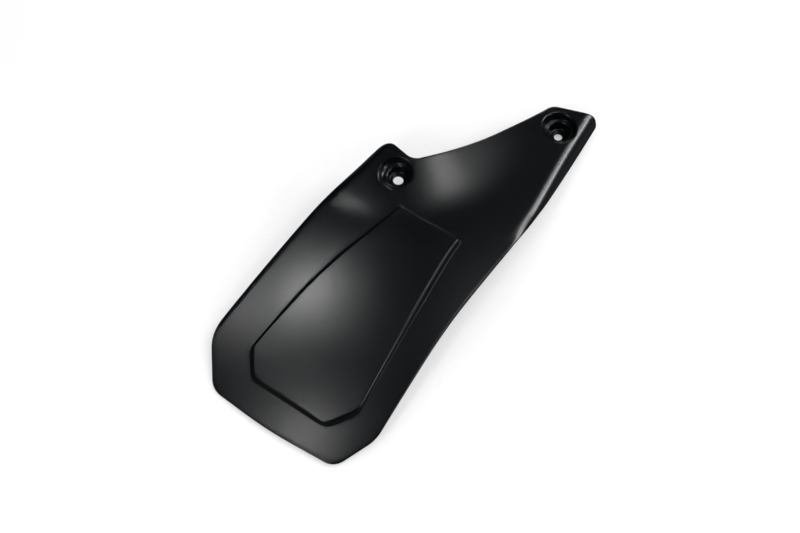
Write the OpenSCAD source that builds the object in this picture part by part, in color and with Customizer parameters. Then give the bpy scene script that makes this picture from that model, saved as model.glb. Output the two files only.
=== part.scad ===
// Mud flap: one moulded sheet with a raised panel, an arm with a rolled edge and two fixing cups.
// Millimetres. Origin: lower bore axis on the back face of its floor. +Z: front. +Y: towards the arm.

/* [Sheet] */
// Thickness of the moulded sheet
sheet_t = 2.1; // [1.6:0.1:3]
// Radius of the bow along the lower half
bow_r = 720; // [500:10:1500]
// Radius of the bow across the width
cross_r = 650; // [450:10:1500]
// How far the end of the arm falls below the crown
arm_drop = 13; // [0:1:25]
// How far the corner by the ear curls up
curl_h = 24; // [0:1:30]
// Height of the front face above the lower mount, at the lower cup
front_z = 11.2; // [9.5:0.1:14]

/* [Outline] */
// Width across the lower corners
flap_w = 152; // [140:1:165]
// Distance from the lower bore down to the bottom edge
bottom_y = 213; // [190:1:235]
// Distance from the lower bore up to the end of the arm
arm_y = 149; // [146:0.5:160]
// Distance from the lower bore out to the left edge
left_x = 33.5; // [32:0.5:40]

/* [Raised panel] */
// Height of the panel above the sheet
panel_h = 3.3; // [1:0.1:4.5]
// Width of the sloping wall round the panel
wall_w = 3.8; // [2:0.1:4.5]

/* [Rolled edges] */
// Radius of the rolled edge on the arm
roll_r = 11; // [9:0.5:14]
// Angle the arm's edge turns through
roll_turn = 65; // [40:1:68]
// Width of the roll seen from the front
roll_w = 12.6; // [8:0.2:14]
// Share of the roll's width left where it starts
roll_root = 0.68; // [0.5:0.02:1]
// Width of the fold at the ear
ear_w = 8; // [5:0.5:10]
// Drop of the fold at the ear
ear_drop = 5; // [1:0.5:7]
// Drop of the lip along the left edge
lip_drop = 1; // [0.2:0.1:2]

/* [Cups] */
// Radius of the lower bore
lower_bore_r = 4; // [3:0.1:5]
// Radius of the upper bore
upper_bore_r = 3.3; // [2.6:0.1:4.5]
// Radius of the recess at the lower rim
lower_rim_r = 13.4; // [12.6:0.1:13.8]
// Radius of the recess at the upper rim
upper_rim_r = 13.6; // [12.8:0.1:14.2]
// Radius of the shoulder inside each cup
shoulder_r = 11; // [10.6:0.1:11.8]
// Radius of the well at its top
well_r = 8.4; // [7.6:0.1:8.8]
// Radius of the flat floor
floor_r = 7; // [6.2:0.1:7.4]
// Depth of the lower well below its shoulder
lower_well_d = 5.6; // [4.5:0.1:6]
// Depth of the upper well below its shoulder
upper_well_d = 8; // [5:0.1:9]
// Angle by which the recess of the lower cup leans to the left
lower_lean = 9; // [0:0.5:10]
// Thickness of the floor under each well
floor_t = 2.4; // [1.8:0.1:3.2]
// Depth of the upper floor below the sheet
upper_depth = 14.7; // [12:0.1:17]
// Sideways distance between the two bores
cup_dx = 64.7; // [62:0.1:67]
// Lengthways distance between the two bores
cup_dy = 118.8; // [116:0.1:121]

/* [Hidden] */

// Points to a corner arc, and how much denser the mesh is where the edge turns
arc_n = 6;
dense = 16;
// Columns in each margin and in the panel, rows in the bottom margin, the panel, the ear and the arm
margin_n = 6;
panel_n = 11;
low_n = 4;
long_n = 19;
ear_n = 7;
arm_n = 24;
cols = 2 * margin_n + panel_n + 2;
foot_row = low_n + long_n + 2;
ear_row = foot_row + ear_n;
rows = ear_row + arm_n;

// Crown of the bow and the round area that curls up by the ear
crown = [45, -19];
arm_len = 200;
curl_at = [-45, 60];
curl_r = 115;

// Outline corners, anticlockwise from the lower left: x, y, radius
xl = -left_x;
xr = flap_w - left_x;
yb = -bottom_y;
flap_pts = [
    [xl + 0.4, yb + 33, 35],
    [xl + 30.7, yb, 18],
    [xl + 83.1, yb + 1, 320],
    [xr - 11.8, yb + 10.6, 14],
    [xr - 0.1, yb + 44.6, 32],
    [xr - 13.1, -71, 600],
    [xr - 17.5, 43, 385],
    [xr - 36.1, arm_y, 4.6],
    [xr - 70.6, arm_y - 17.6, 11.2],
    [25.4, 49.5, 185],
    [1.1, 16, 12],
    [xl + 7.5, 16.4, 10.8],
    [xl - 1.9, -42.9, 245]
];
// Foot of the panel wall, anticlockwise from the lower left
panel_pts = [
    [xl + 33.2, yb + 40.5, 11],
    [xl + 50, yb + 21.8, 12],
    [xr - 33.7, yb + 27.7, 13],
    [xr - 20.9, yb + 52, 16],
    [xr - 45.5, -28, 150],
    [xr - 47.5, -9, 4],
    [16, -16.4, 6],
    [2, -98, 400]
];

function xy(c) = [c.x, c.y];
function unit(v) = v / norm(v);
function left_of(v) = [-v.y, v.x];
function step01(t) = let (k = min(1, max(0, t))) k * k * (3 - 2 * k);
function mix(a, b, k) = a + (b - a) * k;

// Rounded corner at b as points, each with the turn made since the last one in radians
function corner(a, b, c) =
    let (
        u = unit(xy(a) - xy(b)),
        w = unit(xy(c) - xy(b)),
        half = acos(u * w) / 2,
        o = xy(b) + unit(u + w) * b.z / sin(half),
        side = sign(left_of(-u) * w),
        turn = side * (180 - 2 * half),
        start = xy(b) + u * b.z / tan(half) - o
    )
    [for (i = [0:arc_n]) let (g = turn * i / arc_n)
        [
            o.x + start.x * cos(g) - start.y * sin(g),
            o.y + start.x * sin(g) + start.y * cos(g),
            i == 0 ? 0 : abs(turn) / arc_n * PI / 180
        ]];

// Closed path through rounded corners, going one corner past its start
function round_path(c) = let (n = len(c))
    [for (k = [0:n]) each corner(c[(k + n - 1) % n], c[k % n], c[(k + 1) % n])];

// Running measure of a path: length, plus extra where it turns
function measure(p) =
    [for (i = 0, s = 0; i < len(p);
        s = s + (i + 1 < len(p) ? norm(xy(p[i + 1]) - xy(p[i])) + dense * p[i + 1].z : 0), i = i + 1)
        s];
function table(p, s) = [[for (i = [0:len(p) - 1]) [s[i], p[i].x]], [for (i = [0:len(p) - 1]) [s[i], p[i].y]]];
function at(t, s) = [lookup(s, t[0]), lookup(s, t[1])];
// Index of the middle of corner k
function mid(k) = k * (arc_n + 1) + arc_n / 2;

// Polygon moved inwards by w
function inset(c, w) = let (n = len(c))
    [for (k = [0:n - 1])
        let (
            a = left_of(unit(xy(c[k]) - xy(c[(k + n - 1) % n]))),
            b = left_of(unit(xy(c[(k + 1) % n]) - xy(c[k]))),
            q = xy(c[k]) + (a + b) * w / (1 + a * b)
        )
        [q.x, q.y, max(1, c[k].z - w)]];

flap_path = round_path(flap_pts);
flap_s = measure(flap_path);
flap_t = table(flap_path, flap_s);
foot_path = round_path(panel_pts);
foot_s = measure(foot_path);
foot_t = table(foot_path, foot_s);
top_path = round_path(inset(panel_pts, wall_w));
top_s = measure(top_path);
top_t = table(top_path, top_s);

// Place on the left or right edge that is level with a given y
function level(k0, k1, y) = lookup(y, [for (i = [mid(k0):mid(k1)]) [flap_path[i].y, flap_s[i]]]);

// Evenly spread values with one narrow step at each end
function stations(a, b, n, w) = [a, for (i = [0:n]) mix(a + w, b - w, i / n), b];
function spread(a, b, n) = [for (i = [0:n]) mix(a, b, i / n)];

// Rows up the right edge, and up the left edge to the ear and on from the notch
low_right = level(4, 5, panel_pts[3].y + 3);
high_right = level(5, 7, panel_pts[5].y + 6);
ear_right = level(5, 7, flap_pts[10].y + 14);
low_left = level(12, 13, panel_pts[0].y);
high_left = level(11, 12, panel_pts[6].y + 3);
right_s = [
    for (i = [0:low_n - 1]) mix(flap_s[mid(4)], low_right, i / low_n),
    each stations(low_right, high_right, long_n, wall_w),
    for (i = [1:ear_n]) mix(high_right, ear_right, i / ear_n),
    for (i = [1:arm_n]) mix(ear_right, flap_s[mid(7)], i / arm_n)
];
left_s = [
    for (i = [0:low_n - 1]) mix(flap_s[mid(13)], low_left, i / low_n),
    each stations(low_left, high_left, long_n, -wall_w),
    for (i = [1:ear_n]) mix(high_left, flap_s[mid(11)], i / ear_n),
    for (i = [1:arm_n]) mix(flap_s[mid(10)], flap_s[mid(8)], i / arm_n)
];
edge_right = [for (s = right_s) at(flap_t, s)];
edge_left = [for (s = left_s) at(flap_t, s)];

// Sides of the panel: foot of the wall and top of the wall
foot_low = [for (s = stations(foot_s[mid(0)], foot_s[mid(3)], panel_n, wall_w)) at(foot_t, s)];
foot_right = [for (s = stations(foot_s[mid(3)], foot_s[mid(5)], long_n, wall_w)) at(foot_t, s)];
foot_high = [for (s = stations(foot_s[mid(6)], foot_s[mid(5)], panel_n, -wall_w)) at(foot_t, s)];
foot_left = [for (s = stations(foot_s[mid(8)], foot_s[mid(6)], long_n, -wall_w)) at(foot_t, s)];
top_low = [for (s = spread(top_s[mid(0)], top_s[mid(3)], panel_n)) at(top_t, s)];
top_right = [for (s = spread(top_s[mid(3)], top_s[mid(5)], long_n)) at(top_t, s)];
top_high = [for (s = spread(top_s[mid(6)], top_s[mid(5)], panel_n)) at(top_t, s)];
top_left = [for (s = spread(top_s[mid(8)], top_s[mid(6)], long_n)) at(top_t, s)];

// Rows of the mesh that run along the foot of the panel's lower and upper side
function across(e0, foot, e1) = [
    for (i = [0:margin_n - 1]) mix(e0, foot[0], i / margin_n),
    each foot,
    for (i = [1:margin_n]) mix(foot[panel_n + 2], e1, i / margin_n)
];
row_low = across(edge_left[low_n], foot_low, edge_right[low_n]);
row_high = across(edge_left[foot_row], foot_high, edge_right[foot_row]);

// Share of the width at each column, part by length and part by count
function lengths(p) =
    [for (i = 0, s = 0; i < len(p); s = s + (i + 1 < len(p) ? norm(p[i + 1] - p[i]) : 0), i = i + 1) s];
function shares(p) = let (s = lengths(p), n = len(p) - 1) [for (i = [0:n]) mix(s[i] / s[n], i / n, 0.5)];
function part_of(p, k) = [for (i = [k:len(p) - 1]) p[i]];
share_low = shares(row_low);
share_high = shares(row_high);
share_arm = shares(part_of(row_high, margin_n));
end_low = [for (k = share_low) at(flap_t, mix(flap_s[mid(0)], flap_s[mid(4)], k))];
// Along the top of the ear to the notch, then across to the right edge
row_ear = [
    for (i = [0:margin_n - 1]) at(flap_t, mix(flap_s[mid(11)], flap_s[mid(10)], i / margin_n)),
    for (k = share_arm) mix(at(flap_t, flap_s[mid(10)]), edge_right[ear_row], k)
];
row_arm = part_of(row_ear, margin_n);
end_high = [for (k = share_arm) at(flap_t, mix(flap_s[mid(8)], flap_s[mid(7)], k))];

// Patch between two rows whose ends follow the outline
function patch(a, b, i, v, k, l, r) =
    let (
        n = len(a) - 1,
        fix_l = l - mix(a[0], b[0], v),
        fix_r = r - mix(a[n], b[n], v)
    )
    mix(a[i], b[i], v) + fix_l * (1 - k) + fix_r * k;

function plan(i, j) =
    j < low_n ? patch(end_low, row_low, i, j / low_n, share_low[i], edge_left[j], edge_right[j])
    : j > ear_row ? arm_plan(max(0, i - margin_n), j)
    : j > foot_row ?
        patch(row_high, row_ear, i, (j - foot_row) / ear_n, share_high[i], edge_left[j], edge_right[j])
    : panel_plan(i, j, i - margin_n, j - low_n);
function arm_plan(i, j) =
    patch(row_arm, end_high, i, (j - ear_row) / arm_n, share_arm[i], edge_left[j], edge_right[j]);
function panel_plan(i, j, p, q) =
    p < 0 ? mix(edge_left[j], foot_left[q], i / margin_n)
    : p > panel_n + 2 ? mix(foot_right[q], edge_right[j], (p - panel_n - 2) / margin_n)
    : p == 0 ? foot_left[q]
    : p == panel_n + 2 ? foot_right[q]
    : q == 0 ? foot_low[p]
    : q == long_n + 2 ? foot_high[p]
    : patch(top_low, top_high, p - 1, (q - 1) / long_n, (p - 1) / panel_n, top_left[q - 1], top_right[q - 1]);
function raised(i, j) =
    i > margin_n && i < margin_n + panel_n + 2 && j > low_n && j < foot_row;

// Distance inwards from an edge made of two straight lines meeting at b
function inside(p, a, b, c) =
    let (
        d1 = (p - xy(b)) * left_of(unit(xy(b) - xy(a))),
        d2 = (p - xy(b)) * left_of(unit(xy(c) - xy(b)))
    )
    (d1 + d2) / 2 - sqrt(pow((d1 - d2) / 2, 2) + 0.25);

// Drop of a rolled edge: an arc, then a straight flange
function roll(s) =
    let (run = roll_r * sin(roll_turn))
    s <= 0 ? 0
    : s < run ? roll_r - sqrt(roll_r * roll_r - s * s)
    : roll_r * (1 - cos(roll_turn)) + (s - run) * tan(roll_turn);
function bend(s, w, drop) = s <= 0 ? 0 : drop * pow(s / w, 2);

// Height of the bowed sheet, before and after its edges are turned down
function bowed(p) =
    let (
        y = p.y - crown.y,
        far = (pow(p.x - curl_at.x, 2) + pow(p.y - curl_at.y, 2)) / pow(curl_r, 2)
    )
    (y < 0 ? -y * y / (2 * bow_r) : -arm_drop * step01(y / arm_len))
    - pow(p.x - crown.x, 2) / (2 * cross_r)
    + curl_h * pow(max(0, 1 - far), 2);
bowed_0 = bowed([0, 0]);
function height(p) =
    let (
        dr = inside(p, flap_pts[5], flap_pts[6], flap_pts[7]),
        dl = inside(p, flap_pts[11], flap_pts[12], flap_pts[0]),
        roll_here = roll_w * mix(roll_root, 1, step01((p.y - 10) / 110))
    )
    front_z + bowed(p) - bowed_0
    - roll(roll_here - dr) * step01((p.y - 5) / 35)
    - bend(ear_w - dl, ear_w, ear_drop) * step01((p.y + 55) / 50)
    - bend(5 - dl, 5, lip_drop) * step01((p.y + 190) / 20);
function normal(p) =
    let (
        e = 0.1,
        gx = (height(p + [e, 0]) - height(p - [e, 0])) / (2 * e),
        gy = (height(p + [0, e]) - height(p - [0, e])) / (2 * e)
    )
    unit([-gx, -gy, 1]);

// Height of the middle of the sheet, where the cups join it
function middle(p) = height(p) - sheet_t / 2 / normal(p).z;

// Grid places round the outline, anticlockwise, going round the notch
function corner_i(j) = j < ear_row ? 0 : margin_n;
rim = [
    for (i = [0:cols - 1]) [i, 0],
    for (j = [0:rows - 1]) [cols, j],
    for (i = [cols:-1:margin_n + 1]) [i, rows],
    for (j = [rows:-1:ear_row + 1]) [margin_n, j],
    for (i = [margin_n:-1:1]) [i, ear_row],
    for (j = [ear_row:-1:1]) [0, j]
];

module sheet() {
    wide = cols + 1;
    flat = [for (j = [0:rows]) for (i = [0:cols]) plan(i, j)];
    n = wide * (rows + 1);
    front = [for (j = [0:rows]) for (i = [0:cols])
        let (p = flat[j * wide + i])
        [p.x, p.y, height(p) + (raised(i, j) ? panel_h : 0)]];
    back = [for (k = [0:n - 1]) front[k] - sheet_t * normal(flat[k])];
    faces = [
        for (j = [0:rows - 1]) for (i = [corner_i(j):cols - 1])
            let (a = j * wide + i, b = a + 1, c = a + wide, d = c + 1)
            each [[a, c, d], [a, d, b], [n + a, n + d, n + c], [n + a, n + b, n + d]],
        for (k = [0:len(rim) - 1])
            let (
                p = rim[k],
                q = rim[(k + 1) % len(rim)],
                a = p.y * wide + p.x,
                b = q.y * wide + q.x
            )
            each [[a, b, n + b], [a, n + b, n + a]]
    ];
    polyhedron(points = concat(front, back), faces = faces, convexity = 8);
}

// One cup: its axis, the back face of its floor, its rim, bore and well depth, and how far its recess leans
lower_cup = [[0, 0], 0, lower_rim_r, lower_bore_r, lower_well_d, lower_lean];
upper_cup = [
    [cup_dx, cup_dy],
    height([cup_dx, cup_dy]) - upper_depth - floor_t,
    upper_rim_r,
    upper_bore_r,
    upper_well_d,
    0
];
ring_n = 48;
skin_t = 2;
chamfer = 0.8;
lean_at = 225;
lean_dir = [cos(lean_at), sin(lean_at)];

function ring(c, r) = [for (k = [0:ring_n - 1]) c + r * [cos(360 * k / ring_n), sin(360 * k / ring_n)]];
function floor_z(c) = c[1] + floor_t;
function rim_up(c) = height(c[0]) - floor_z(c);
// Point of a cup given from the middle of its floor along its leaning axis
function leaned(c, q) =
    let (
        along = xy(q) * lean_dir,
        across = xy(q) * left_of(lean_dir),
        p = c[0] + lean_dir * (along * cos(c[5]) + q.z * sin(c[5])) + left_of(lean_dir) * across
    )
    [p.x, p.y, floor_z(c) + q.z * cos(c[5]) - along * sin(c[5])];

// Wall and shoulder of a cup, filled, cut off along the middle of the slanting sheet
module collar(c) {
    mouth_at = xy(leaned(c, [0, 0, rim_up(c)]));
    foot = ring([0, 0], shoulder_r + skin_t);
    outer = ring(mouth_at, c[2] + skin_t);
    inner = ring(mouth_at, c[2] - 2);
    points = [
        for (p = foot) leaned(c, [p.x, p.y, c[4] - skin_t]),
        for (p = outer) [p.x, p.y, middle(p)],
        for (p = inner) [p.x, p.y, middle(p)],
        [mouth_at.x, mouth_at.y, middle(mouth_at)]
    ];
    n = ring_n;
    faces = [
        [for (k = [0:n - 1]) k],
        for (k = [0:n - 1]) let (m = (k + 1) % n) each [
            [k, n + k, n + m],
            [k, n + m, m],
            [n + k, 2 * n + k, 2 * n + m],
            [n + k, 2 * n + m, n + m],
            [2 * n + k, 3 * n, 2 * n + m]
        ]
    ];
    polyhedron(points = points, faces = faces, convexity = 4);
}

// Round body of the well, its top inside the leaning shoulder
module well_body(c) {
    body_r = well_r + skin_t;
    under = floor_t + c[4] - skin_t;
    top = under + chamfer + body_r * sin(c[5]);
    translate([c[0].x, c[0].y, c[1]])
        rotate_extrude($fn = 96)
            polygon([
                [0, 0],
                [floor_r + skin_t - chamfer, 0],
                [floor_r + skin_t, chamfer],
                [body_r, under],
                [body_r, top],
                [0, top]
            ]);
}

// Hollow of the well, upright
module well_hollow(c) {
    translate([c[0].x, c[0].y, floor_z(c)])
        rotate_extrude($fn = 96)
            polygon([
                [0, 0],
                [floor_r, 0],
                [well_r, c[4] - chamfer],
                [well_r + chamfer, c[4]],
                [well_r + chamfer, c[4] + skin_t],
                [0, c[4] + skin_t]
            ]);
}

// Hollow from the shoulder up through the rim, leaning with the cup
module mouth_hollow(c) {
    translate([c[0].x, c[0].y, floor_z(c)])
        rotate([0, 0, lean_at])
            rotate([0, c[5], 0])
                rotate_extrude($fn = 96)
                    polygon([
                        [0, c[4]],
                        [shoulder_r, c[4]],
                        [c[2], rim_up(c)],
                        [c[2], rim_up(c) + 20],
                        [0, rim_up(c) + 20]
                    ]);
}

module bore(c) {
    translate([c[0].x, c[0].y, c[1] - 1])
        cylinder(h = floor_t + 2, r = c[3], $fn = 64);
}

module mud_flap() {
    color("#141516")
        difference() {
            union() {
                union() {
                    sheet();
                    collar(lower_cup);
                    collar(upper_cup);
                }
                well_body(lower_cup);
                well_body(upper_cup);
            }
            mouth_hollow(lower_cup);
            mouth_hollow(upper_cup);
            well_hollow(lower_cup);
            well_hollow(upper_cup);
            bore(lower_cup);
            bore(upper_cup);
        }
}

mud_flap();
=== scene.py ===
import math

import bpy
import numpy as np
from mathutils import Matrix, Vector


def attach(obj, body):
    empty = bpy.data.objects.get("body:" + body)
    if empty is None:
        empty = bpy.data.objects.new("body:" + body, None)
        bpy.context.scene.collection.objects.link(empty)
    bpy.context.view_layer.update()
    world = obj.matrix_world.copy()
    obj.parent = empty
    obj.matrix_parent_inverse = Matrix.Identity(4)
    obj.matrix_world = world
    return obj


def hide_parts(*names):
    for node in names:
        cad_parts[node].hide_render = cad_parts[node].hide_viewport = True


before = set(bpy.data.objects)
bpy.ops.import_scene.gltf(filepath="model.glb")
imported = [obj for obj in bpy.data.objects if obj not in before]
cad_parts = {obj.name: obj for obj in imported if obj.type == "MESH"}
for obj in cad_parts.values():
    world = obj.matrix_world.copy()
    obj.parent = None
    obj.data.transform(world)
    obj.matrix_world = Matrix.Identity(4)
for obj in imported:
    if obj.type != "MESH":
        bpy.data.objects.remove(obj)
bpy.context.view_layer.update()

# Mud flap
# The flap: one sheet of black polypropylene 2.1 mm thick, injection moulded in one shot, with a raised
# panel, a rolled edge along the arm, an ear with a fold and two deep fixing cups. Its front face has a
# satin, finely grained skin, and the mould leaves its edges rounded.

# Sheet: how its front face bows, drops, rolls and folds. Sizes are in mm, in the CAD's frame, whose
# origin is the axis of the lower cup at the back of its floor.
MM = 0.001
sheet_t, front_z = 2.1, 11.2
# Crown of the bow, its radius along and across the sheet, and the drop of the arm over its length
crown, bow_r, cross_r, arm_drop, arm_len = (45, -19), 720, 650, 13, 200
# Swell that curls the sheet up beside the ear: height, middle and radius
curl_h, curl_at, curl_r = 24, (-45, 60), 115
# Roll of the arm's right edge: radius, turn, width and the share of that width where it starts
roll_r, roll_turn, roll_w, roll_root = 11, math.radians(65), 12.6, 0.68
# Fold of the ear's left edge, and the lip of the sheet's left edge: width and drop
ear_w, ear_drop = 8, 5
lip_w, lip_drop = 5, 1
# Where along y each of them starts and over what length it comes in
roll_starts, roll_widens, ear_starts, lip_starts = (5, 35), (10, 110), (-55, 50), (-190, 20)
# Two straight lines of the outline are joined softly over this distance
join_w = 0.5
# Left, right, lower and upper reach of the outline, then its corners anticlockwise: x, y, radius
xl, xr, yb, arm_y = -33.5, 118.5, -213, 149
flap_pts = np.array([
    (xl + 0.4, yb + 33, 35),  # 0 lower left
    (xl + 30.7, yb, 18),  # 1 left end of the bottom
    (xl + 83.1, yb + 1, 320),  # 2 slight bend of the bottom
    (xr - 11.8, yb + 10.6, 14),  # 3 right end of the bottom
    (xr - 0.1, yb + 44.6, 32),  # 4 lower right
    (xr - 13.1, -71, 600),  # 5 long right side
    (xr - 17.5, 43, 385),  # 6 root of the arm
    (xr - 36.1, arm_y, 4.6),  # 7 right corner of the arm's end
    (xr - 70.6, arm_y - 17.6, 11.2),  # 8 left corner of the arm's end
    (25.4, 49.5, 185),  # 9 hollow side of the arm
    (1.1, 16, 12),  # 10 notch
    (xl + 7.5, 16.4, 10.8),  # 11 tip of the ear
    (xl - 1.9, -42.9, 245)])  # 12 long left side
arm_side, ear_side = (5, 6, 7), (11, 12, 0)


def smooth(t):
    """Smoothstep of an array: 3t^2 - 2t^3, held to 0 and 1 outside the range."""
    t = np.clip(t, 0, 1)
    return t * t * (3 - 2 * t)


def comes_in(y, start, length):
    """Share of a form that starts at y = start and is whole after length."""
    return smooth((y - start) / length)


def unit(v):
    """Each vector of the last axis brought to length 1."""
    return v / np.maximum(np.linalg.norm(v, axis=-1, keepdims=True), 1e-12)


def inside(p, k0, k1, k2):
    """Distance inwards from an edge of two straight lines meeting at corner k1, softly joined:
    the smaller of the two distances, as mean - sqrt(half their difference^2 + join_w^2)."""
    b = flap_pts[k1, :2]
    d = []
    for a, c in ((flap_pts[k0, :2], b), (b, flap_pts[k2, :2])):
        u = unit(c - a)
        d.append((p - b) @ np.array([-u[1], u[0]]))
    return (d[0] + d[1]) / 2 - np.sqrt(((d[0] - d[1]) / 2) ** 2 + join_w ** 2)


def bowed(p):
    """Bow along and across the sheet as y^2 / 2r and x^2 / 2r, the arm's drop as a smoothstep, and
    the swell (1 - r^2)^2 that curls its corner up."""
    y = p[..., 1] - crown[1]
    far = ((p[..., 0] - curl_at[0]) ** 2 + (p[..., 1] - curl_at[1]) ** 2) / curl_r ** 2
    along = np.where(y < 0, -y * y / (2 * bow_r), -arm_drop * smooth(y / arm_len))
    return along - (p[..., 0] - crown[0]) ** 2 / (2 * cross_r) + curl_h * np.clip(1 - far, 0, None) ** 2


def height(p):
    """Height of the front face at plan points p: the bow, less the roll (a circle's arc that goes on
    as its tangent), less the fold and the lip (squares of the distance past their inner line)."""
    p = np.asarray(p, float)
    y = p[..., 1]
    in_roll = roll_w * (roll_root + (1 - roll_root) * comes_in(y, *roll_widens)) - inside(p, *arm_side)
    run = roll_r * math.sin(roll_turn)
    arc = roll_r - np.sqrt(roll_r ** 2 - np.clip(in_roll, 0, run) ** 2)
    roll = arc + np.clip(in_roll - run, 0, None) * math.tan(roll_turn)
    left = inside(p, *ear_side)
    fold = ear_drop * (np.clip(ear_w - left, 0, None) / ear_w) ** 2
    lip = lip_drop * (np.clip(lip_w - left, 0, None) / lip_w) ** 2
    return (front_z + bowed(p) - bowed(np.zeros(2)) - roll * comes_in(y, *roll_starts)
            - fold * comes_in(y, *ear_starts) - lip * comes_in(y, *lip_starts))


def normal(p):
    """Unit normal of the front face, from central differences of its height."""
    e = 0.05
    gx = (height(p + [e, 0]) - height(p - [e, 0])) / (2 * e)
    gy = (height(p + [0, e]) - height(p - [0, e])) / (2 * e)
    return unit(np.stack([-gx, -gy, np.ones_like(gx)], -1))


# Outline: steps in the arc of each corner, readings along a whole outline, and the length in mm that
# a turn of one radian counts for, so that the corners get their share of columns
arc_n, path_n, turn_len = 16, 2400, 16


def round_path(c):
    """Closed path through rounded corners. Returns points, running measure and each corner's middle."""
    n, pts, mids, turns = len(c), [], [], []
    for k in range(n + 1):
        a, b, d = c[(k - 1) % n, :2], c[k % n, :2], c[(k + 1) % n, :2]
        r, u, w = c[k % n, 2], unit(a - b), unit(d - b)
        half = math.acos(float(u @ w)) / 2
        o = b + unit(u + w) * r / math.sin(half)
        turn = math.copysign(math.pi - 2 * half, float(-u[0] * w[1] + u[1] * w[0]))
        start = b + u * r / math.tan(half) - o
        g = turn * np.linspace(0, 1, arc_n + 1)[:, None]
        mids.append(len(pts) + arc_n // 2)
        pts.extend(o + start * np.cos(g) + np.array([-start[1], start[0]]) * np.sin(g))
        turns.extend([0] + [abs(turn) / arc_n] * arc_n)
    pts, turns = np.array(pts), np.array(turns)
    steps = np.linalg.norm(np.diff(pts, axis=0), axis=1) + turn_len * turns[1:]
    return pts, np.concatenate([[0], np.cumsum(steps)]), np.array(mids)


class Path:
    """A rounded outline that can be read at any measure along it, drawn in from its edge if asked."""

    def __init__(self, c, draw_in=0.0):
        pts, s, mids = round_path(c)
        self.mid = s[mids]
        self.s = np.linspace(0, s[-1], path_n)
        self.edge = np.stack([np.interp(self.s, s, pts[:, 0]), np.interp(self.s, s, pts[:, 1])], -1)
        self.p = self.edge
        if draw_in:
            t = unit(np.roll(self.edge, -1, 0) - np.roll(self.edge, 1, 0))
            t[0], t[-1] = t[1], t[-2]
            t = sum(np.roll(t, k, 0) for k in range(-2, 3))
            side = unit(np.stack([-t[:, 1], t[:, 0]], -1))
            self.p = self.edge + side * draw_in * normal(self.edge)[:, 2:3]

    def at(self, s):
        """Plan points at the measures s."""
        return np.stack([np.interp(s, self.s, self.p[:, 0]), np.interp(s, self.s, self.p[:, 1])], -1)

    def level(self, k0, k1, y):
        """Measure at which the outline crosses height y in the plan, between corners k0 and k1."""
        pick = (self.s >= self.mid[k0]) & (self.s <= self.mid[k1])
        q, s = self.edge[pick, 1], self.s[pick]
        o = np.argsort(q)
        return float(np.interp(y, q[o], s[o]))


# The front face ends where the rounding of the edge starts
edge_r, back_r = 1.4, 0.4
flap = Path(flap_pts, edge_r)

# Raised panel: pressed up out of the sheet and hollow behind, with a sloping wall. Corners of the
# wall's foot, the same way round as the outline: x, y, radius.
panel_h, wall_w = 3.3, 3.8
panel_pts = np.array([
    (xl + 33.2, yb + 40.5, 11),  # 0 lower left
    (xl + 50, yb + 21.8, 12),  # 1 left end of the bottom
    (xr - 33.7, yb + 27.7, 13),  # 2 right end of the bottom
    (xr - 20.9, yb + 52, 16),  # 3 lower right
    (xr - 45.5, -28, 150),  # 4 bend of the right side
    (xr - 47.5, -9, 4),  # 5 upper right
    (16, -16.4, 6),  # 6 upper left
    (2, -98, 400)])  # 7 bend of the left side
# How the wall rises across its width: a small round at its foot, a slope and a wide round at its top
wall_t = np.array([0, 0.05, 0.11, 0.2, 0.37, 0.54, 0.71, 0.87, 1.0])
wall_h = np.array([0, 0.012, 0.06, 0.21, 0.54, 0.8, 0.935, 0.988, 1.0])


def inset(c, w):
    """Polygon of rounded corners moved inwards by w, each radius less w but at least 1."""
    out = []
    for k in range(len(c)):
        u, v = unit(c[k, :2] - c[k - 1, :2]), unit(c[(k + 1) % len(c), :2] - c[k, :2])
        a, b = np.array([-u[1], u[0]]), np.array([-v[1], v[0]])
        out.append([*(c[k, :2] + (a + b) * w / (1 + a @ b)), max(1, c[k, 2] - w)])
    return np.array(out)


def even(n):
    """Even steps from 0 to 1."""
    return np.linspace(0, 1, n + 1)


def stations(a, b, n, w):
    """Measures from a to b: the steps of the wall at each end and n even steps between."""
    return np.concatenate([a + w * wall_t[:-1], np.linspace(a + w, b - w, n + 1), b - w * wall_t[:-1][::-1]])


def ruled(a, b, t):
    """Points between curves a and b at the shares t: axis 0 follows t, axis 1 the curves."""
    return a[None] * (1 - t)[:, None, None] + b[None] * t[:, None, None]


def coons(a, b, left, right, u):
    """Patch between rows a and b whose ends follow the curves left and right."""
    v = even(len(left) - 1)
    base = ruled(a, b, v)
    dl, dr = left - base[:, 0], right - base[:, -1]
    return base + dl[:, None] * (1 - u)[None, :, None] + dr[:, None] * u[None, :, None]


# Cells of the grid. Columns: each margin beside the panel, the panel, its wall. Rows: below the
# panel, along it, up to the notch, along the arm.
margin_n, panel_n, wall_n = 30, 34, 8
low_n, long_n, ear_n, arm_n = 12, 64, 26, 104
across_n, side_n = panel_n + 2 * wall_n, long_n + 2 * wall_n
cols, foot_row = 2 * margin_n + across_n, low_n + side_n
ear_row = foot_row + ear_n
rows = ear_row + arm_n

foot, top = Path(panel_pts), Path(inset(panel_pts, wall_w))
# Measures of the corners along the foot of the wall and along its top
f, g = foot.mid, top.mid
foot_low = foot.at(stations(f[0], f[3], panel_n, wall_w))
foot_right = foot.at(stations(f[3], f[5], long_n, wall_w))
foot_high = foot.at(stations(f[6], f[5], panel_n, -wall_w))
foot_left = foot.at(stations(f[8], f[6], long_n, -wall_w))
top_low = top.at(g[0] + (g[3] - g[0]) * even(panel_n))
top_right = top.at(g[3] + (g[5] - g[3]) * even(long_n))
top_high = top.at(g[6] + (g[5] - g[6]) * even(panel_n))
top_left = top.at(g[8] + (g[6] - g[8]) * even(long_n))

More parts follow.
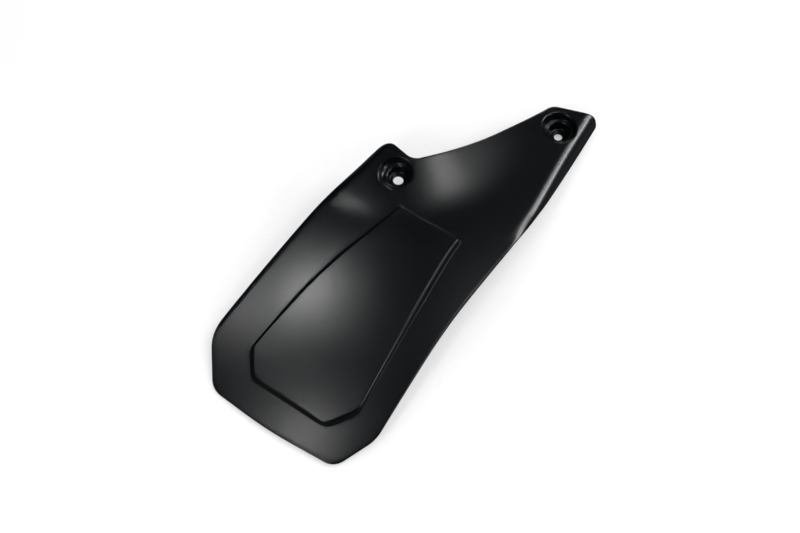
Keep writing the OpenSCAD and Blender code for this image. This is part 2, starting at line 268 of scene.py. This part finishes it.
# Plan of the panel: its top, its four walls, then a fan of cells in each corner of the walls
w = wall_n
panel_plan = np.zeros((side_n + 1, across_n + 1, 2))
panel_plan[w:-w, w:-w] = coons(top_low, top_high, top_left, top_right, even(panel_n))
panel_plan[:w + 1, w:-w] = ruled(foot_low[w:-w], top_low, wall_t)
panel_plan[-w - 1:, w:-w] = ruled(top_high, foot_high[w:-w], 1 - wall_t[::-1])
panel_plan[w:-w, :w + 1] = ruled(foot_left[w:-w], top_left, wall_t).transpose(1, 0, 2)
panel_plan[w:-w, -w - 1:] = ruled(top_right, foot_right[w:-w], 1 - wall_t[::-1]).transpose(1, 0, 2)
lo, hi = np.minimum(wall_t[:, None], wall_t[None]), np.maximum(wall_t[:, None], wall_t[None])
past = wall_w * np.where(wall_t[None] >= wall_t[:, None], 1, -1) * (hi - lo) / np.maximum(1 - lo, 1e-9)
for step_j, step_i, at_foot, at_top, way in ((1, 1, f[0], g[0], 1), (1, -1, f[3], g[3], -1),
                                             (-1, -1, f[5], g[5], 1), (-1, 1, f[6], g[6], -1)):
    fan = foot.at(at_foot + way * past) * (1 - lo)[..., None] + top.at(at_top) * lo[..., None]
    panel_plan[::step_j, ::step_i][:w + 1, :w + 1] = fan

# Front face: rows of cells across the outline, from its lower edge up to the end of the arm. The rows
# through the panel's corners and through the notch meet the outline a few mm above them. m holds the
# measures of the outline's corners, and right_s and left_s those of the rows' two ends.
m = flap.mid
low_right, high_right = flap.level(4, 5, panel_pts[3, 1] + 3), flap.level(5, 7, panel_pts[5, 1] + 6)
ear_right = flap.level(5, 7, flap_pts[10, 1] + 14)
low_left, high_left = flap.level(12, 13, panel_pts[0, 1]), flap.level(11, 12, panel_pts[6, 1] + 3)
right_s = np.concatenate([
    m[4] + (low_right - m[4]) * even(low_n)[:-1], stations(low_right, high_right, long_n, wall_w),
    high_right + (ear_right - high_right) * even(ear_n)[1:],
    ear_right + (m[7] - ear_right) * even(arm_n)[1:]])
left_s = np.concatenate([
    m[13] + (low_left - m[13]) * even(low_n)[:-1], stations(low_left, high_left, long_n, -wall_w),
    high_left + (m[11] - high_left) * even(ear_n)[1:],
    m[10] + (m[8] - m[10]) * even(arm_n)[1:]])
# The panel's block of points in the grid
p0, p1 = margin_n, margin_n + across_n
panel_rows = slice(low_n, foot_row + 1)


def shares(p):
    """Share of the width at each point of a row, half by length and half by count."""
    s = np.concatenate([[0], np.cumsum(np.linalg.norm(np.diff(p, axis=0), axis=1))])
    return 0.5 * s / s[-1] + 0.5 * even(len(p) - 1)


def plan_grid(path):
    """Plan points of the whole front, rows by columns, for an outline drawn in by its path."""
    right, left = path.at(right_s), path.at(left_s)

    def across(j, foot_line):
        """Row j: from the outline to the panel's foot, along it, and out to the outline again."""
        return np.concatenate([
            ruled(left[j:j + 1], foot_line[:1], even(margin_n))[:-1, 0], foot_line,
            ruled(foot_line[-1:], right[j:j + 1], even(margin_n))[1:, 0]])

    row_low, row_high = across(low_n, foot_low), across(foot_row, foot_high)
    u_low, u_high, u_arm = shares(row_low), shares(row_high), shares(row_high[margin_n:])
    end_low = path.at(m[0] + (m[4] - m[0]) * u_low)
    end_high = path.at(m[8] + (m[7] - m[8]) * u_arm)
    notch = path.at(m[10])
    row_ear = np.concatenate([path.at(m[11] + (m[10] - m[11]) * even(margin_n)[:-1]),
                              notch + (right[ear_row] - notch) * u_arm[:, None]])
    out = np.zeros((rows + 1, cols + 1, 2))
    out[:low_n + 1] = coons(end_low, row_low, left[:low_n + 1], right[:low_n + 1], u_low)
    out[panel_rows, :p0 + 1] = ruled(left[panel_rows], foot_left, even(margin_n)).transpose(1, 0, 2)
    out[panel_rows, p1:] = ruled(foot_right, right[panel_rows], even(margin_n)).transpose(1, 0, 2)
    out[panel_rows, p0:p1 + 1] = panel_plan
    ear_rows = slice(foot_row, ear_row + 1)
    out[ear_rows] = coons(row_high, row_ear, left[ear_rows], right[ear_rows], u_high)
    out[foot_row], out[low_n] = row_high, row_low
    arm_left = np.concatenate([notch[None], left[ear_row + 1:]])
    out[ear_row:, margin_n:] = coons(row_ear[margin_n:], end_high, arm_left, right[ear_row:], u_arm)
    out[ear_row, :margin_n + 1] = row_ear[:margin_n + 1]
    return out


def wall_rise(n):
    """Share of the panel's height at each row or column of the panel block."""
    t = np.ones(n + 1)
    t[:wall_n + 1], t[-wall_n - 1:] = wall_h, wall_h[::-1]
    return t


grid = plan_grid(flap)
rise = np.zeros(grid.shape[:2])
rise[panel_rows, p0:p1 + 1] = panel_h * np.minimum(wall_rise(side_n)[:, None], wall_rise(across_n)[None])
front = np.dstack([grid, height(grid) + rise])
back = front - sheet_t * normal(grid)

verts, quads = [front.reshape(-1, 3), back.reshape(-1, 3)], []
wide, count = cols + 1, (rows + 1) * (cols + 1)


def add(points):
    """Adds a row of points and returns the index of each."""
    start = sum(len(v) for v in verts)
    verts.append(points)
    return start + np.arange(len(points))


# Edge: rounded all the way round, from the front face over to the back face
quarter = math.pi / 2
ij = np.array([(i, 0) for i in range(cols)] + [(cols, j) for j in range(rows)]
              + [(i, rows) for i in range(cols, margin_n, -1)]
              + [(margin_n, j) for j in range(rows, ear_row, -1)]
              + [(i, ear_row) for i in range(margin_n, 0, -1)] + [(0, j) for j in range(ear_row, 0, -1)])
rim = ij[:, 1] * wide + ij[:, 0]
outer = plan_grid(Path(flap_pts))[ij[:, 1], ij[:, 0]]
edge = np.column_stack([outer, height(outer)])
edge_n, rim_f, rim_b = normal(outer), front.reshape(-1, 3)[rim], back.reshape(-1, 3)[rim]
edge_b = edge - sheet_t * edge_n
rings = [rim_f + (edge - rim_f) * math.sin(t) - edge_r * edge_n * (1 - math.cos(t))
         for t in np.linspace(0, quarter, 7)[1:]]
rings += [rim_b + (edge_b - rim_b) * math.sin(t) + back_r * edge_n * (1 - math.cos(t))
          for t in np.linspace(quarter, 0, 5)[:-1]]
last = rim
for new in [add(r) for r in rings] + [rim + count]:
    quads.append(np.stack([last, new, np.roll(new, -1), np.roll(last, -1)], -1))
    last = new

# Fixing cups: a rim, a shoulder, a well with a tapered wall, a floor and a bore for the bolt. Each
# gives its axis, the back of its floor, its rim and bore radius, the well's depth and its lean, which
# is in degrees towards the lower left.
cups = (
    dict(at=(0.0, 0.0), floor_back=0.0, rim_r=13.4, bore_r=4.0, well_d=5.6, lean=9),
    dict(at=(64.7, 118.8), floor_back=-22.247, rim_r=13.6, bore_r=3.3, well_d=8.0, lean=0))
lean_at = math.radians(225)
shoulder_r, well_r, floor_r, floor_t, skin_t = 11, 8.4, 7, 2.4, 2
# Rounds: the lip of the rim, the foot of the rim's wall, both sides of the well's mouth, the edge of
# the floor, the back of the boss, and the mouth of the bore as steps outwards and down
lip_r, rim_foot_r, mouth_out, mouth_in, floor_round, boss_round = 1.5, 0.8, 1.6, 0.35, 0.9, 0.8
mouth_d, bore_round = 2.2, ((0.7, 0), (0.5, -0.05), (0.12, -0.2), (0, -0.6))
# Gap between a boss and the cells cleared for it, and the number of rings that join it to the sheet
clear_w, join_n = 0.5, 5
lean_dir = np.array([math.cos(lean_at), math.sin(lean_at)])
lean_side = np.array([-lean_dir[1], lean_dir[0]])
keep = np.ones((rows, cols), bool)
keep[ear_row:, :margin_n] = False


def strip(a, b):
    """Closed band of quads between two loops of the same length."""
    quads.append(np.stack([a, np.roll(a, -1), np.roll(b, -1), b], -1))


def curve(a, b, c, n):
    """Quadratic curve from a to c, shaped by b, as n points without its first one."""
    return [((1 - k) ** 2) * a + 2 * k * (1 - k) * b + k * k * c for k in (np.arange(n) + 1) / n]


def on(p):
    """Points of the front face over plan points."""
    return np.column_stack([p, height(p)])


def cleared(mouth, reach):
    """Takes the block of cells within reach of a cup's mouth out of the sheet. Returns the indices of
    the points round it and their plan points."""
    near = np.argwhere((np.linalg.norm(grid - mouth, axis=-1) < reach) & (grid[..., 0] != 0))
    j0, i0 = near.min(0) - 1
    j1, i1 = near.max(0) + 1
    j1 = min(j1, ear_row if i0 < margin_n else rows)
    keep[j0:j1, i0:i1] = False
    loop = np.array([(j0, i) for i in range(i0, i1)] + [(j, i1) for j in range(j0, j1)]
                    + [(j1, i) for i in range(i1, i0, -1)] + [(j, i0) for j in range(j1, j0, -1)])
    return loop[:, 0] * wide + loop[:, 1], grid[loop[:, 0], loop[:, 1]]


def add_cup(at, floor_back, rim_r, bore_r, well_d, lean):
    """Fills a cleared block with rings round the cup's axis, from the sheet's front to its back. Each
    ring is a radius and a height over the floor, in the recess's leaning or the well's upright axes."""
    at, lean, floor = np.array(at), math.radians(lean), floor_back + floor_t
    up = float(height(at)) - floor
    mouth = at + up * math.sin(lean) * lean_dir
    loop_id, loop_p = cleared(mouth, rim_r + skin_t + clear_w)
    away, one = unit(loop_p - mouth), np.ones(len(loop_p))

    def wall(z):
        """Radius of the recess at a height above the floor."""
        return shoulder_r + (rim_r - shoulder_r) * np.clip((z - well_d) / (up - well_d), 0, 1)

    def tilted(r, z):
        """Ring of the leaning recess."""
        q, z = away * np.reshape(r * one, (-1, 1)), z * one
        along, side = q @ lean_dir, q @ lean_side
        p = at + np.outer(along * math.cos(lean) + z * math.sin(lean), lean_dir) + np.outer(side, lean_side)
        return np.column_stack([p, floor + z * math.cos(lean) - along * math.sin(lean)])

    def level(r, z):
        """Ring of the upright well."""
        return np.column_stack([at + away * np.reshape(r * one, (-1, 1)), floor + z * one])

    # Height of the lip all the way round, where the leaning wall meets the sheet, settled in 12 rounds.
    # The lip's round takes at most half the wall's height, and the one at the wall's foot about a third.
    h = up * one
    for _ in range(12):
        p = tilted(wall(h), h)
        h = h + (height(p[:, :2]) - p[:, 2])
    lip = tilted(wall(h), h)
    lip_out = lip[:, :2] + away * lip_r
    lip_in = h - np.clip(0.5 * (h - well_d), 0.1, lip_r)
    rim_foot = well_d + np.clip(0.35 * (h - well_d), 0.08, 0.9)
    band = [on(loop_p + (lip_out - loop_p) * k / join_n) for k in range(1, join_n + 1)]
    band += curve(band[-1], lip, tilted(wall(lip_in), lip_in), 6)
    for k in (1 / 3, 2 / 3, 1):
        z = lip_in + (rim_foot - lip_in) * k
        band.append(tilted(wall(z), z))
    # Shoulder, then over the mouth of the well and down its tapered wall to the floor
    band += curve(band[-1], tilted(shoulder_r, well_d), tilted(shoulder_r - rim_foot_r, well_d), 4)
    band.append(tilted(well_r + mouth_out, well_d))
    mouth_edge = 0.5 * (tilted(well_r + 0.1, well_d) + level(well_r + 0.1, well_d))
    band += curve(band[-1], mouth_edge, level(well_r - mouth_in, well_d - mouth_d), 7)
    band.append(level(floor_r + 0.25, floor_round))
    band += curve(band[-1], level(floor_r, 0), level(floor_r - floor_round, 0), 4)
    # Through the bore, then outside the boss and out along the sheet's back
    band += [level(bore_r + out, down) for out, down in bore_round]
    band += [level(bore_r, -floor_t), level(floor_r + skin_t - boss_round, -floor_t),
             level(floor_r + skin_t, boss_round - floor_t), level(well_r + skin_t, well_d - skin_t),
             tilted(shoulder_r + skin_t, well_d - skin_t)]
    boss_out = mouth + away * (rim_r + skin_t)
    for k in range(join_n):
        p = boss_out + (loop_p - boss_out) * k / join_n
        band.append(on(p) - sheet_t * normal(p))
    last = loop_id
    for new in [add(r) for r in band] + [loop_id + count]:
        strip(last, new)
        last = new


for cup in cups:
    add_cup(**cup)

# Mesh of the whole moulding
a = (np.arange(rows)[:, None] * wide + np.arange(cols)[None])[keep]
quads += [np.stack([a, a + 1, a + wide + 1, a + wide], -1),
          np.stack([a, a + wide, a + wide + 1, a + 1], -1) + count]
points, faces = np.concatenate(verts), np.concatenate(quads)
used, faces = np.unique(faces, return_inverse=True)
points, faces = points[used] * MM, faces.reshape(-1, 4)
mesh = bpy.data.meshes.new("flap")
mesh.from_pydata(points.tolist(), [], faces.tolist())
mesh.shade_smooth()
mesh.set_sharp_from_angle(angle=math.radians(50))
flap_obj = bpy.data.objects.new("flap", mesh)
bpy.context.scene.collection.objects.link(flap_obj)
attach(flap_obj, "root")
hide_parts("mud_flap")


def linear(code):
    """sRGB hex to linear colour."""
    out = []
    for k in (1, 3, 5):
        v = int(code[k:k + 2], 16) / 255
        out.append(v / 12.92 if v <= 0.04045 else ((v + 0.055) / 1.055) ** 2.4)
    return (*out, 1.0)


def node(tree, kind, inputs=(), **settings):
    """Adds a shader node, sets its properties and fills its inputs with values or links."""
    n = tree.nodes.new(kind)
    for key, value in settings.items():
        setattr(n, key, value)
    for key, value in dict(inputs).items():
        if isinstance(value, bpy.types.NodeSocket):
            tree.links.new(value, n.inputs[key])
        else:
            n.inputs[key].default_value = value
    return n


def new_material(name):
    """Empty node material with its output."""
    mat = bpy.data.materials.new(name)
    mat.use_nodes = True
    mat.node_tree.nodes.clear()
    return mat, mat.node_tree, mat.node_tree.nodes.new("ShaderNodeOutputMaterial")


# Black polypropylene, moulded against an etched tool: a deep black with a satin sheen that breaks up
# slightly in the grain. The real grain is about 0.1 mm, drawn 0.8 mm across so that it is not lost
# between pixels. The base colour is darker than the plastic's own, to suit this scene's light. Three
# ejector pins left rings, and the ridges drawn for them are too low to show in the render.
grain_w, grain_h = 0.8, 0.01
pin_at, pin_r, ridge_w, ridge_h = ((55.7, 95.9), (11.2, -167.7), (85.6, -158.1)), 4.2, 0.6, 0.04
mat, tree, out = new_material("black_polypropylene")
place = node(tree, "ShaderNodeTexCoord").outputs["Object"]
flat = node(tree, "ShaderNodeVectorMath", {0: place, 1: (1, 1, 0)}, operation="MULTIPLY").outputs[0]
relief = 0.0
for x, y in pin_at:
    pin = {0: flat, 1: (x * MM, y * MM, 0)}
    away = node(tree, "ShaderNodeVectorMath", pin, operation="DISTANCE").outputs["Value"]
    off = node(tree, "ShaderNodeMath", {0: away, 1: pin_r * MM}, operation="SUBTRACT").outputs[0]
    off = node(tree, "ShaderNodeMath", {0: off}, operation="ABSOLUTE").outputs[0]
    slope = {0: off, 1: -1 / (ridge_w * MM), 2: 1.0}
    ridge = node(tree, "ShaderNodeMath", slope, operation="MULTIPLY_ADD", use_clamp=True).outputs[0]
    relief = node(tree, "ShaderNodeMath", {0: relief, 1: ridge}, operation="ADD").outputs[0]
grain = node(tree, "ShaderNodeTexNoise", {
    "Vector": place, "Scale": 1 / (grain_w * MM), "Detail": 2.0}).outputs["Fac"]
ring = node(tree, "ShaderNodeBump", {
    "Height": relief, "Distance": ridge_h * MM, "Strength": 1.0}).outputs["Normal"]
bump = node(tree, "ShaderNodeBump", {
    "Height": grain, "Distance": grain_h * MM, "Strength": 1.0, "Normal": ring}).outputs["Normal"]
plastic = node(tree, "ShaderNodeBsdfPrincipled", {
    "Base Color": linear("#03060a"), "Roughness": 0.27, "IOR": 1.5, "Normal": bump})
tree.links.new(plastic.outputs[0], out.inputs["Surface"])
mesh.materials.append(mat)

# Floor
# A white paper sweep at the height of the flap's lowest point, the left end of its bottom edge. The
# camera sees it white, with the flap's soft shadow on it, and the flap itself sees it dim.
floor_half, floor_z = 4.0, float(points[:, 2].min())
corners = [(x * floor_half, y * floor_half, floor_z) for x, y in ((-1, -1), (1, -1), (1, 1), (-1, 1))]
floor_mesh = bpy.data.meshes.new("floor")
floor_mesh.from_pydata(corners, [], [(0, 1, 2, 3)])
floor_obj = bpy.data.objects.new("floor", floor_mesh)
bpy.context.scene.collection.objects.link(floor_obj)
mat, tree, out = new_material("white_floor")
seen = node(tree, "ShaderNodeLightPath").outputs["Is Camera Ray"]
white = node(tree, "ShaderNodeBsdfDiffuse", {"Color": (0.6, 0.6, 0.6, 1)}).outputs[0]
glow = node(tree, "ShaderNodeEmission", {"Color": (1, 1, 1, 1), "Strength": 0.34}).outputs[0]
both = node(tree, "ShaderNodeAddShader", {0: white, 1: glow}).outputs[0]
dim = node(tree, "ShaderNodeBsdfDiffuse", {"Color": (0.12, 0.12, 0.12, 1)}).outputs[0]
mixed = node(tree, "ShaderNodeMixShader", {0: seen, 1: dim, 2: both}).outputs[0]
tree.links.new(mixed, out.inputs["Surface"])
floor_mesh.materials.append(mat)

# Room
# A white room that lights the flap evenly. The camera sees it white, and the sheen sees it all but
# black, so that only the lamps show in it.
world = bpy.data.worlds.new("world")
bpy.context.scene.world = world
world.use_nodes = True
tree = world.node_tree
tree.nodes.clear()
path = node(tree, "ShaderNodeLightPath").outputs
walls, in_sheen, behind = [
    node(tree, "ShaderNodeBackground", {"Color": (1, 1, 1, 1), "Strength": strength}).outputs[0]
    for strength in (0.7, 0.005, 1.0)]
mixed = node(tree, "ShaderNodeMixShader", {0: path["Is Glossy Ray"], 1: walls, 2: in_sheen}).outputs[0]
mixed = node(tree, "ShaderNodeMixShader", {0: path["Is Camera Ray"], 1: mixed, 2: behind}).outputs[0]
tree.links.new(mixed, node(tree, "ShaderNodeOutputWorld").inputs["Surface"])

# Camera
# A 90 mm lens 1.5 m away, 25.5 degrees off the vertical.
tilt, turn, reach_m = math.radians(25.5), math.radians(39.6), 1.5
view = Vector((math.sin(tilt) * math.sin(turn), -math.sin(tilt) * math.cos(turn), math.cos(tilt)))
aim = Vector((0.0471, -0.05478, 0.0))
cam_data = bpy.data.cameras.new("camera")
cam_data.lens, cam_data.sensor_width = 90, 36
cam = bpy.data.objects.new("camera", cam_data)
bpy.context.scene.collection.objects.link(cam)
cam.location = aim + view * reach_m
cam.rotation_euler = view.to_track_quat("Z", "Y").to_euler()
bpy.context.scene.camera = cam
bpy.context.scene.view_settings.view_transform = "Standard"

# Lights
# Soft boxes 1.6 m away, each seen mirrored in one part of the sheet, their places and powers fitted to
# the photograph's highlights. Those 0.12 m square have a grid that narrows their beam, so that each
# lights only the part it is aimed at; the others are open.
lamp_away = 1.6
# Name, x and y of the unit vector towards the lamp, aim on the sheet in mm, side in m, beam in degrees, W
lamps = (
    ("crown", -0.41, 0.06, (12, -122), 0.12, 7, 0.0072),
    ("left", -0.54, -0.06, (12, -156), 0.12, 7, 0.0028),
    ("lower", -0.17, -0.25, (70, -187), 0.12, 8, 0.0046),
    ("corner", -0.3, -0.32, (60, -190), 0.28, 180, 0.25),
    ("saddle", 0.12, 0.2, (38, 26), 0.12, 8, 0.0025),
    ("arm", 0.2, 0.3, (40, -40), 0.28, 180, 2.0),
    ("upper", 0.3, 0.5, (40, -40), 0.28, 180, 0.6),
    ("turn", 0.44, 0.63, (40, -40), 0.28, 180, 4.0),
    ("fold", 0.56, 0.71, (40, -40), 0.28, 180, 5.5),
    ("ear", -0.45, 0.75, (40, -40), 0.28, 180, 2.6),
    ("side", 0.88, 0.2, (40, -40), 0.28, 180, 3.0),
    ("front", 0.0, -0.75, (40, -40), 0.28, 180, 4.0))
for name, x, y, lamp_aim, size, spread, power in lamps:
    d = Vector((x, y, math.sqrt(1 - x * x - y * y)))
    data = bpy.data.lights.new(name, "AREA")
    data.size, data.energy, data.spread = size, power, math.radians(spread)
    lamp = bpy.data.objects.new(name, data)
    bpy.context.scene.collection.objects.link(lamp)
    lamp.location = Vector((*lamp_aim, 0)) * MM + d * lamp_away
    lamp.rotation_euler = d.to_track_quat("Z", "Y").to_euler()
